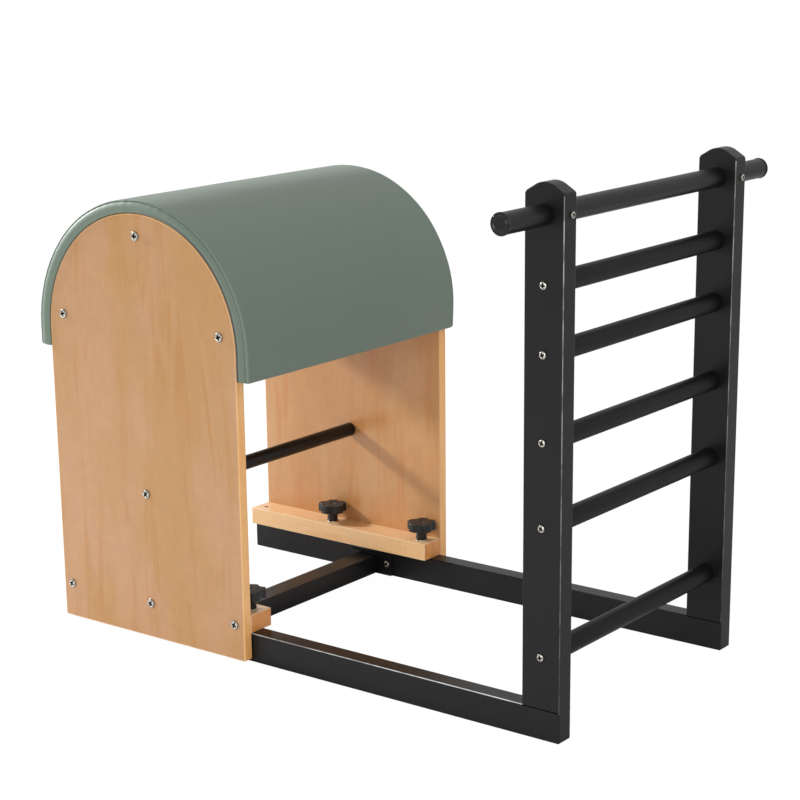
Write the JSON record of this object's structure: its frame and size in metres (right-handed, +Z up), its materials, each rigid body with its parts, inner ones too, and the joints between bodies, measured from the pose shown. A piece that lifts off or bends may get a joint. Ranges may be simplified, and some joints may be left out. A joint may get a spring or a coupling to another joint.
{
  "type": "pilates ladder barrel",
  "caption": "Exercise barrel with a padded half-round top on wooden side panels, sliding along the rails of a black steel frame with a ladder of round rungs and handle ends",
  "frame": {"origin": "on the floor, under the middle of the whole object's box", "axes": "+X runs along the rails from the barrel to the ladder, +Y across to the far side, +Z up"},
  "size_m": [1.2565, 0.8906, 1],
  "materials": {
    "black_paint": "satin black powder coat",
    "birch_ply": "clear satin lacquer over pale plywood",
    "beech": "clear satin lacquer over solid beech",
    "pine": "sawn and unlacquered",
    "sage_vinyl": "smooth sage green leatherette, a coated fabric, with a soft sheen",
    "matte_black": "moulded matte black plastic",
    "gloss_black": "moulded gloss black plastic",
    "zinc": "bright zinc plate"
  },
  "bodies": {
    "frame": {"rail_near": "black_paint", "rail_far": "black_paint", "crossbeam": "black_paint", "post_near": "black_paint", "post_far": "black_paint", "rung_1": "black_paint", "rung_2": "black_paint", "rung_3": "black_paint", "rung_4": "black_paint", "rung_5": "black_paint", "top_bar": "black_paint", "handle_cap_near": "gloss_black", "handle_cap_far": "gloss_black", "rung_screw_near_1": "zinc", "rung_screw_near_2": "zinc", "rung_screw_near_3": "zinc", "rung_screw_near_4": "zinc", "rung_screw_near_5": "zinc", "rung_screw_far_1": "zinc", "rung_screw_far_2": "zinc", "rung_screw_far_3": "zinc", "rung_screw_far_4": "zinc", "rung_screw_far_5": "zinc", "bar_screw_near": "zinc", "bar_screw_far": "zinc"},
    "barrel": {"side_panel_near": "birch_ply", "side_panel_far": "birch_ply", "barrel_deck": "birch_ply", "barrel_pad": "sage_vinyl", "batten_top": "pine", "batten_rear": "pine", "batten_front": "pine", "foot_bar": "black_paint", "cleat_near": "beech", "cleat_far": "beech", "knob_washer_near_middle": "zinc", "knob_washer_near_front": "zinc", "knob_washer_far_middle": "zinc", "knob_washer_far_front": "zinc", "slide_nut_near": "zinc", "slide_nut_far": "zinc", "panel_screw_near_1": "zinc", "panel_screw_near_2": "zinc", "panel_screw_near_3": "zinc", "panel_screw_near_4": "zinc", "panel_screw_near_5": "zinc", "panel_screw_near_6": "zinc", "panel_screw_near_7": "zinc", "panel_screw_far_1": "zinc", "panel_screw_far_2": "zinc", "panel_screw_far_3": "zinc", "panel_screw_far_4": "zinc", "panel_screw_far_5": "zinc", "panel_screw_far_6": "zinc", "panel_screw_far_7": "zinc"},
    "knob_near_middle": {"star_knob_near_middle": "matte_black"},
    "knob_near_front": {"star_knob_near_front": "matte_black"},
    "knob_far_middle": {"star_knob_far_middle": "matte_black"},
    "knob_far_front": {"star_knob_far_front": "matte_black"}
  },
  "joints": [
    {"name": "barrel_slide", "type": "slide", "parent": "frame", "child": "barrel", "axis": [1, 0, 0], "range_m": [0, 0.2]},
    {"name": "knob_turn_near_middle", "type": "hinge", "parent": "barrel", "child": "knob_near_middle", "pos_m": [-0.38, -0.284, 0.12], "axis": [0, 0, 1], "continuous": true},
    {"name": "knob_turn_near_front", "type": "hinge", "parent": "barrel", "child": "knob_near_front", "pos_m": [-0.128, -0.284, 0.12], "axis": [0, 0, 1], "continuous": true},
    {"name": "knob_turn_far_middle", "type": "hinge", "parent": "barrel", "child": "knob_far_middle", "pos_m": [-0.38, 0.284, 0.12], "axis": [0, 0, 1], "continuous": true},
    {"name": "knob_turn_far_front", "type": "hinge", "parent": "barrel", "child": "knob_far_front", "pos_m": [-0.128, 0.284, 0.12], "axis": [0, 0, 1], "continuous": true}
  ]
}
